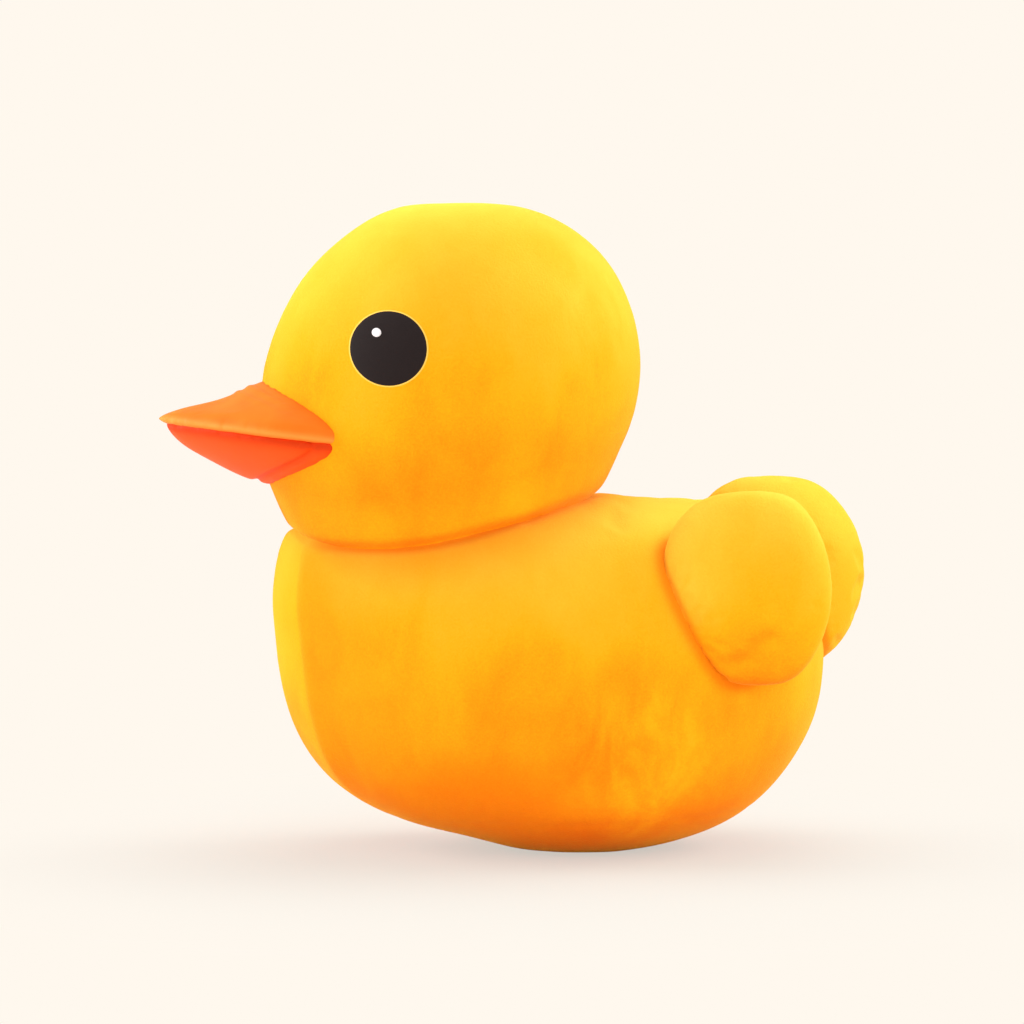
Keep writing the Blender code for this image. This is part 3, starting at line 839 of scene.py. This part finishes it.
def dimple_distance(point):
    """The distance, seen from the side, to the short bent line of the dimple that the filling leaves
    near the wing's bottom."""
    flat = Vector((point.y, point.z))
    return min(
        (flat - nearest_on_line(flat, Vector(start), Vector(end))).length
        for start, end in zip(DIMPLE, DIMPLE[1:])
    )


def dimple(side, point, normal):
    """One at the bottom of the dimple on the wing's outer panel, falling to nothing at its rim."""
    return bell(dimple_distance(point), DIMPLE_WIDTH) * eased(side * normal.x, *OUTER_FACE)


def beside_wing(wing_tree, side, point, normal, width):
    """One on the body's side along the wing's rim, falling to nothing at about twice the width from it."""
    return bell(gap_to(wing_tree, point)[0], width) * eased(side * normal.x, *BODY_FACE)


for side, prefix, over in ((1, "left", LEFT_WING_OVER), (-1, "right", RIGHT_WING_OVER)):
    wing_top_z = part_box(f"{prefix}_wing_outer_panel")[1].z + over
    wing_form = standing_form(
        f"{prefix}_wing_form", WING_RINGS, WING_SIDES, WING_SQUARENESS,
        Vector((-WING_HALF_THICKNESS, WING_AXIS_Y - WING_FRONT, wing_top_z - WING_HEIGHT)),
        Vector((WING_HALF_THICKNESS, WING_AXIS_Y + WING_REAR, wing_top_z)),
        WING_AXIS_Y,
    )
    wing_form.data.transform(
        Matrix.Translation((side * WING_X, WING_AXIS_Y, 0.0))
        @ Matrix.Rotation(-side * WING_TOE, 4, "Z")
        @ Matrix.Translation((0.0, -WING_AXIS_Y, 0.0))
    )
    wing_tree = tree_of(wing_form)
    wing = cover_of(
        wing_form, f"{prefix}_wing_cover", SMALL_VOXEL, [body_form],
        lambda point: WING_TUCK * (1.0 - eased(point.y, *SEWN_RANGE)),
    )
    moved(wing, lambda point, normal: normal * -WING_ROOM)
    stuffed(wing, body_distance, WING_SPARE_CLOTH, WING_MOST_SWELL)
    smoothed(wing, 1)
    moved(wing, lumpy)
    moved(wing, lambda point, normal: normal * -DIMPLE_DEPTH * dimple(side, point, normal))
    # The wing is a little paler all over, with painted light on its upper front rim.
    marked(wing, "spread", lambda point, normal: (
        OUTER_SPREAD + PAINTED_RIM_LIGHT * eased(-normal.y, *RIM_FACE) * eased(point.z, *RIM_Z)
    ))
    marked(wing, "seam", lambda point, normal: max(
        WING_SEAM_SHADE * bell(body_distance(point, normal), SEAM_WIDTH),
        DIMPLE_SHADE * dimple(side, point, normal),
    ))
    finish_piece(
        wing, plush, "plush", 0.8,
        f"{prefix}_wing_outer_panel", f"{prefix}_wing_inner_panel", f"{prefix}_wing_fill",
    )
    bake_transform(wing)
    moved(body, lambda point, normal: (
        normal * -HOLLOW_DEPTH * beside_wing(wing_tree, side, point, normal, HOLLOW_WIDTH)
    ))
    marked(body, "seam", lambda point, normal: (
        HOLLOW_SHADE * beside_wing(wing_tree, side, point, normal, HOLLOW_SHADE_WIDTH)
    ))
    bpy.data.objects.remove(wing_form, do_unlink=True)

# Bill
# Thin brushed polyester in orange, an upper and a lower half. The seam between them is turned out as a
# welt along the lip, with a painted highlight on it. It is lightly filled and sewn to the front of the
# head.
UPPER_RINGS = (  # each ring's place along the bill, its width, its rise and its drop, as shares
    (0.00, 0.00, 0.00, 0.00),
    (0.00, 0.98, 1.05, 1.00),
    (0.34, 1.04, 1.02, 1.04),
    (0.52, 0.90, 0.80, 0.90),
    (0.68, 0.68, 0.42, 0.70),
    (0.86, 0.42, 0.25, 0.40),
    (0.97, 0.17, 0.09, 0.13),
    (1.02, 0.00, 0.00, 0.00),
)
LOWER_RINGS = (
    (0.000, 0.00, 0.00, 0.00),
    (0.000, 0.98, 1.00, 1.00),
    (0.340, 1.04, 1.04, 1.04),
    (0.570, 0.84, 0.80, 0.94),
    (0.750, 0.62, 0.50, 0.66),
    (0.900, 0.38, 0.30, 0.46),
    (0.985, 0.18, 0.16, 0.20),
    (1.020, 0.00, 0.00, 0.00),
)
BILL_SIDES = 8
UPPER_SQUARENESS = 1.28
LOWER_SQUARENESS = 1.45
BILL_ROOT_Y = -0.095
BILL_LIP_Z = 0.250
BILL_PITCH = math.radians(7.0)
BILL_HALF_WIDTH = 0.080
BILL_LENGTH = 0.1265
UPPER_RISE = 0.040
UPPER_DROP = 0.008
LOWER_RISE = 0.004
LOWER_DROP = 0.033
LOWER_INSET = 0.0025
LOWER_TIP_INSET = 0.0050
BILL_VOXEL = 0.0020
BILL_TUCK = 0.0040
BILL_SPARE_CLOTH = 0.002
BILL_MOST_SWELL = 0.0012
WELT_HEIGHT = 0.0013
WELT_WIDTH = 0.0022
WELT_RANGE = (-0.2150, -0.1820)  # from the tip, where the welt starts and is full
# Painted highlight along the welt.
PAINTED_WELT_HIGHLIGHT = 0.8
WRINKLE_HEIGHT = 0.0009
WRINKLE_WIDTH = 0.0020
WRINKLES = (0.0060, 0.0125)  # how far from the head each wrinkle lies
WRINKLE_RISE = (0.010, 0.024)
FOLD_DEPTH = 0.0017
FOLD_SHADE = 0.7
MOUTH_SHADE_WIDTH = 0.0040
FUZZ = 0.0009  # the pattern's size: coarser than the real fuzz, which is too fine to show
CLOUD = 0.020

bill_root = Matrix.Translation((0.0, BILL_ROOT_Y, BILL_LIP_Z))
bill_turn = bill_root @ Matrix.Rotation(-BILL_PITCH, 4, "X") @ bill_root.inverted()


def bill_form(name, rings, squareness, half_width, length, rise, drop):
    """A form whose rings run out towards the tip, with its widest line at the lip."""
    def place(ring, sine, cosine, is_pole):
        along, width_share, rise_share, drop_share = ring
        y = BILL_ROOT_Y - along * length
        if is_pole:
            return Vector((0.0, y, BILL_LIP_Z))
        across, up = squared(sine, squareness), squared(cosine, squareness)
        reach = rise_share * rise if up > 0 else drop_share * drop
        return Vector((across * width_share * half_width, y, BILL_LIP_Z + up * reach))

    form = fitted(
        ring_sphere(name, rings, BILL_SIDES, place),
        Vector((-half_width, BILL_ROOT_Y - length, BILL_LIP_Z - drop)),
        Vector((half_width, BILL_ROOT_Y, BILL_LIP_Z + rise)),
    )
    form.data.transform(bill_turn)
    return form


def above_lip(point):
    """How far a point lies above the lip's sloping plane."""
    return (bill_turn.inverted() @ point).z - BILL_LIP_Z


def brushed_material(name, colour, light, edge):
    """Brushed polyester, almost smooth, with a faint satin gloss and a short pale fuzz. The edge colour is
    a painted highlight on the upper half's welt, and a painted shade in the lower half's mouth and fold."""
    made, tree, output = new_material(name)
    place = add_node(tree, "ShaderNodeTexCoord").outputs["Object"]
    fuzz = add_node(tree, "ShaderNodeTexNoise", {
        "Vector": place, "Scale": 1 / FUZZ, "Detail": 2.0,
    })
    cloud = add_node(tree, "ShaderNodeTexNoise", {
        "Vector": place, "Scale": 1 / CLOUD, "Detail": 2.0,
    })
    tone = add_node(tree, "ShaderNodeMix", {
        0: cloud.outputs["Fac"], 6: linear(colour), 7: linear(light),
    }, data_type="RGBA")
    # The seam mark paints the edge colour in: a highlight on the welt, shade in the mouth and fold.
    sewn = add_node(tree, "ShaderNodeAttribute", attribute_name="seam")
    tone = add_node(tree, "ShaderNodeMix", {
        0: sewn.outputs["Fac"], 6: tone.outputs[2], 7: linear(edge),
    }, data_type="RGBA")
    bump = add_node(tree, "ShaderNodeBump", {
        "Height": fuzz.outputs["Fac"], "Strength": 0.3, "Distance": 0.0003,
    })
    shader = add_node(tree, "ShaderNodeBsdfPrincipled", {
        "Base Color": tone.outputs[2], "Normal": bump.outputs["Normal"], "Roughness": 0.6,
        "Specular IOR Level": 0.08, "Sheen Weight": 0.04, "Sheen Roughness": 0.4,
        "Sheen Tint": linear("#ffb070"),
    })
    tree.links.new(shader.outputs[0], output.inputs[0])
    return made


def head_distance(point, normal):
    """The distance to the head, whose cover the bill is sewn to."""
    return head_tree.find_nearest(point)[3]


upper_form = bill_form(
    "upper_form", UPPER_RINGS, UPPER_SQUARENESS, BILL_HALF_WIDTH, BILL_LENGTH, UPPER_RISE, UPPER_DROP
)
lower_form = bill_form(
    "lower_form", LOWER_RINGS, LOWER_SQUARENESS, BILL_HALF_WIDTH - LOWER_INSET,
    BILL_LENGTH - LOWER_TIP_INSET, LOWER_RISE, LOWER_DROP,
)
upper = cover_of(upper_form, "bill_upper", BILL_VOXEL, [head_form], lambda point: BILL_TUCK)
lower = cover_of(
    lower_form, "bill_lower", BILL_VOXEL, [head_form, upper_form], lambda point: BILL_TUCK
)
# Each half's edge colour is painted: a highlight on the upper half's welt, shade in the lower half's mouth
# and fold.
for piece, colour, light, edge, nodes in (
    (upper, "#f86a10", "#ff8020", "#ff9840", ("bill_upper_panel", "bill_fill")),
    (lower, "#fb4e12", "#ff5c1a", "#d63a08", ("bill_lower_panel",)),
):
    stuffed(piece, head_distance, BILL_SPARE_CLOTH, BILL_MOST_SWELL)
    smoothed(piece, 1)
    finish_piece(
        piece, brushed_material(f"{piece.name}_cloth", colour, light, edge), "brushed_cloth", 0.7,
        *nodes,
    )
    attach(piece, "duck")


def welt(point, normal):
    """The seam between the two halves stands out along the lip, but not at the tip."""
    return normal * WELT_HEIGHT * bell(above_lip(point), WELT_WIDTH) * eased(point.y, *WELT_RANGE)


def root_wrinkles(point, normal):
    """The cloth gathers in two low ridges across the top, next to the seam on the head."""
    ridges = sum(bell(head_distance(point, normal) - place, WRINKLE_WIDTH) for place in WRINKLES)
    return normal * WRINKLE_HEIGHT * ridges * eased(above_lip(point), *WRINKLE_RISE)


def fold(point, normal):
    """One in the fold of the lower half next to the seam on the head, falling to nothing beside it."""
    return bell(head_distance(point, normal) - WRINKLES[0], WRINKLE_WIDTH)


moved(upper, welt)
moved(upper, root_wrinkles)
moved(lower, lambda point, normal: normal * -FOLD_DEPTH * fold(point, normal))
# Painted highlight along the welt.
marked(upper, "seam", lambda point, normal: PAINTED_WELT_HIGHLIGHT * bell(above_lip(point), WELT_WIDTH))
marked(lower, "seam", lambda point, normal: max(
    bell(above_lip(point) + UPPER_DROP / 2, MOUTH_SHADE_WIDTH), FOLD_SHADE * fold(point, normal)
))

# Eyes
# A round of near-black felt on each side of the head, stitched down with a pale thread, and on it a small
# white dot.
EYE_RADIUS = 0.0222
EYE_FORWARD = 0.0023
EYE_DROP = 0.0005
EYE_THICKNESS = 0.0012
THREAD_WIDTH = 0.0005
THREAD_THICKNESS = 0.00084
DOT_RADIUS = 0.0026
DOT_DROP = 0.0024
DOT_THICKNESS = 0.0007
EYE_SEGMENTS = 64
EYE_RINGS = 24
EYE_SQUARENESS = 2.6
OUTSIDE_X = 0.2  # well outside the head
FIBRE = 0.0008  # the pattern's size: coarser than the real fibres, which are too fine to show


def felt_material(name, colour):
    """Dense felt: matt, with a short tangle of fibres."""
    made, tree, output = new_material(name)
    place = add_node(tree, "ShaderNodeTexCoord").outputs["Object"]
    fibre = add_node(tree, "ShaderNodeTexNoise", {
        "Vector": place, "Scale": 1 / FIBRE, "Detail": 3.0,
    })
    bump = add_node(tree, "ShaderNodeBump", {
        "Height": fibre.outputs["Fac"], "Strength": 0.4, "Distance": 0.0003,
    })
    shader = add_node(tree, "ShaderNodeBsdfPrincipled", {
        "Base Color": linear(colour), "Normal": bump.outputs["Normal"], "Roughness": 0.8,
        "Specular IOR Level": 0.2,
    })
    tree.links.new(shader.outputs[0], output.inputs[0])
    return made


black_felt = felt_material("black_felt", "#1e1414")
white_felt = felt_material("white_felt", "#f6eef0")
pale_thread = felt_material("pale_thread", "#ffcc58")
sewn_head_tree = tree_of(head)


def felt_round(name, centre, side, radius, thickness, lift):
    """A flat round with soft edges that follows the cover under it."""
    bm = bmesh.new()
    bmesh.ops.create_uvsphere(bm, u_segments=EYE_SEGMENTS, v_segments=EYE_RINGS, radius=1.0)
    for vertex in bm.verts:
        across = math.hypot(vertex.co.x, vertex.co.y)
        spread = squared(across, EYE_SQUARENESS) / max(across, TINY) * radius
        start = Vector((side * OUTSIDE_X, centre.y + vertex.co.x * spread, centre.z + vertex.co.y * spread))
        place, normal, _, _ = sewn_head_tree.ray_cast(start, Vector((-side, 0.0, 0.0)))
        vertex.co = place + normal * (lift + squared(vertex.co.z, EYE_SQUARENESS) * thickness)
    return object_from(bm, name)


for side, prefix in ((1, "left"), (-1, "right")):
    eye_shift, dot_shift = Vector((0.0, -EYE_FORWARD, -EYE_DROP)), Vector((0.0, 0.0, -DOT_DROP))
    thread_radius = EYE_RADIUS + THREAD_WIDTH
    for suffix, radius, thickness, lift, shift, felt, slot_name in (
        ("_thread", thread_radius, THREAD_THICKNESS, 0.0, eye_shift, pale_thread, "white_felt"),
        ("", EYE_RADIUS, EYE_THICKNESS, 0.0, eye_shift, black_felt, "black_felt"),
        ("_dot", DOT_RADIUS, DOT_THICKNESS, EYE_THICKNESS, dot_shift, white_felt, "white_felt"),
    ):
        node_low, node_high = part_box(f"{prefix}_eye" + suffix.replace("_thread", ""))
        centre = (node_low + node_high) / 2 + shift
        made = felt_round(f"{prefix}_eye{suffix}_felt", centre, side, radius, thickness, lift)
        made.data.materials.append(felt)
        made.data.shade_smooth()
        if suffix != "_thread":
            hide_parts(f"{prefix}_eye{suffix}")
        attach(made, "duck")

# The plain forms under the covers have done their work.
for form in (body_form, head_form, tail_form, upper_form, lower_form):
    bpy.data.objects.remove(form, do_unlink=True)

# Floor, backdrop and light
# A pale floor that runs out of sight. The light is that of a bright white room: soft from all round,
# strongest from in front of the duck and from behind it, and weaker from above and from the camera's side.
BACKGROUND = "#fff8ee"
HORIZON_LIGHT = 0.50
ZENITH_LIGHT = 0.75
FLOOR_SIZE = 6.0
FLOOR_GLOW = 0.58  # near the duck, so that its shadow shows
FLOOR_NEAR = 0.12
FLOOR_FAR = 0.42
FLOOR_SEEN = "#c5c5c0"
FLOOR_BOUNCE = "#eee7de"  # what the floor throws back on the duck's underside

world = bpy.data.worlds.new("world")
scene.world = world
world.use_nodes = True
tree = world.node_tree
tree.nodes.clear()
direction = add_node(tree, "ShaderNodeTexCoord").outputs["Generated"]
height = add_node(tree, "ShaderNodeSeparateXYZ", {0: direction})
strength = add_node(tree, "ShaderNodeMapRange", {
    "Value": height.outputs["Z"], "From Min": 0.0, "From Max": 1.0,
    "To Min": HORIZON_LIGHT, "To Max": ZENITH_LIGHT,
})
rays = add_node(tree, "ShaderNodeLightPath")
seen = add_node(tree, "ShaderNodeMath", {
    0: rays.outputs["Is Camera Ray"], 1: rays.outputs["Is Glossy Ray"],
}, operation="MAXIMUM")
seen = add_node(tree, "ShaderNodeMath", {
    0: seen.outputs[0], 1: rays.outputs["Is Transmission Ray"],
}, operation="MAXIMUM")
lit = add_node(tree, "ShaderNodeBackground", {
    "Color": linear("#ffffff"), "Strength": strength.outputs["Result"],
})
shown = add_node(tree, "ShaderNodeBackground", {"Color": linear(BACKGROUND), "Strength": 1.0})
mix = add_node(tree, "ShaderNodeMixShader", {
    0: seen.outputs[0], 1: lit.outputs[0], 2: shown.outputs[0],
})
add_node(tree, "ShaderNodeOutputWorld", {"Surface": mix.outputs[0]})

bm = bmesh.new()
bmesh.ops.create_grid(bm, x_segments=1, y_segments=1, size=FLOOR_SIZE)
floor = object_from(bm, "floor")
floor_material, tree, output = new_material("floor")
place = add_node(tree, "ShaderNodeTexCoord").outputs["Object"]
reach = add_node(tree, "ShaderNodeVectorMath", {0: place}, operation="LENGTH")
fade = add_node(tree, "ShaderNodeMapRange", {
    "Value": reach.outputs["Value"], "From Min": FLOOR_NEAR, "From Max": FLOOR_FAR,
    "To Min": FLOOR_GLOW, "To Max": 1.0,
}, interpolation_type="SMOOTHSTEP")
rays = add_node(tree, "ShaderNodeLightPath")
seen = add_node(tree, "ShaderNodeMath", {
    0: fade.outputs["Result"], 1: rays.outputs["Is Camera Ray"],
}, operation="MULTIPLY")
paint = add_node(tree, "ShaderNodeMix", {
    0: rays.outputs["Is Camera Ray"], 6: linear(FLOOR_BOUNCE), 7: linear(FLOOR_SEEN),
}, data_type="RGBA")
matt = add_node(tree, "ShaderNodeBsdfDiffuse", {"Color": paint.outputs[2]})
glow = add_node(tree, "ShaderNodeEmission", {"Color": linear(BACKGROUND), "Strength": 1.0})
mix = add_node(tree, "ShaderNodeMixShader", {
    0: seen.outputs[0], 1: matt.outputs[0], 2: glow.outputs[0],
})
tree.links.new(mix.outputs[0], output.inputs[0])
floor.data.materials.append(floor_material)


def soft_light(name, place, size, power):
    """A white square lamp that faces the duck."""
    lamp = bpy.data.lights.new(name, "AREA")
    lamp.size = size
    lamp.energy = power
    made = bpy.data.objects.new(name, lamp)
    scene.collection.objects.link(made)
    made.location = place
    made.rotation_euler = (Vector(place) - VIEW_TARGET).to_track_quat("Z", "Y").to_euler()


soft_light("top_light", (-0.35, 0.15, 1.9), 1.5, 17.0)
soft_light("front_light", (-0.50, -2.05, 0.9), 1.3, 42.0)
soft_light("back_light", (-0.45, 1.95, 1.2), 1.3, 31.0)
soft_light("side_light", (2.2, 0.4, 0.6), 1.6, 19.0)

scene.view_settings.view_transform = "Standard"
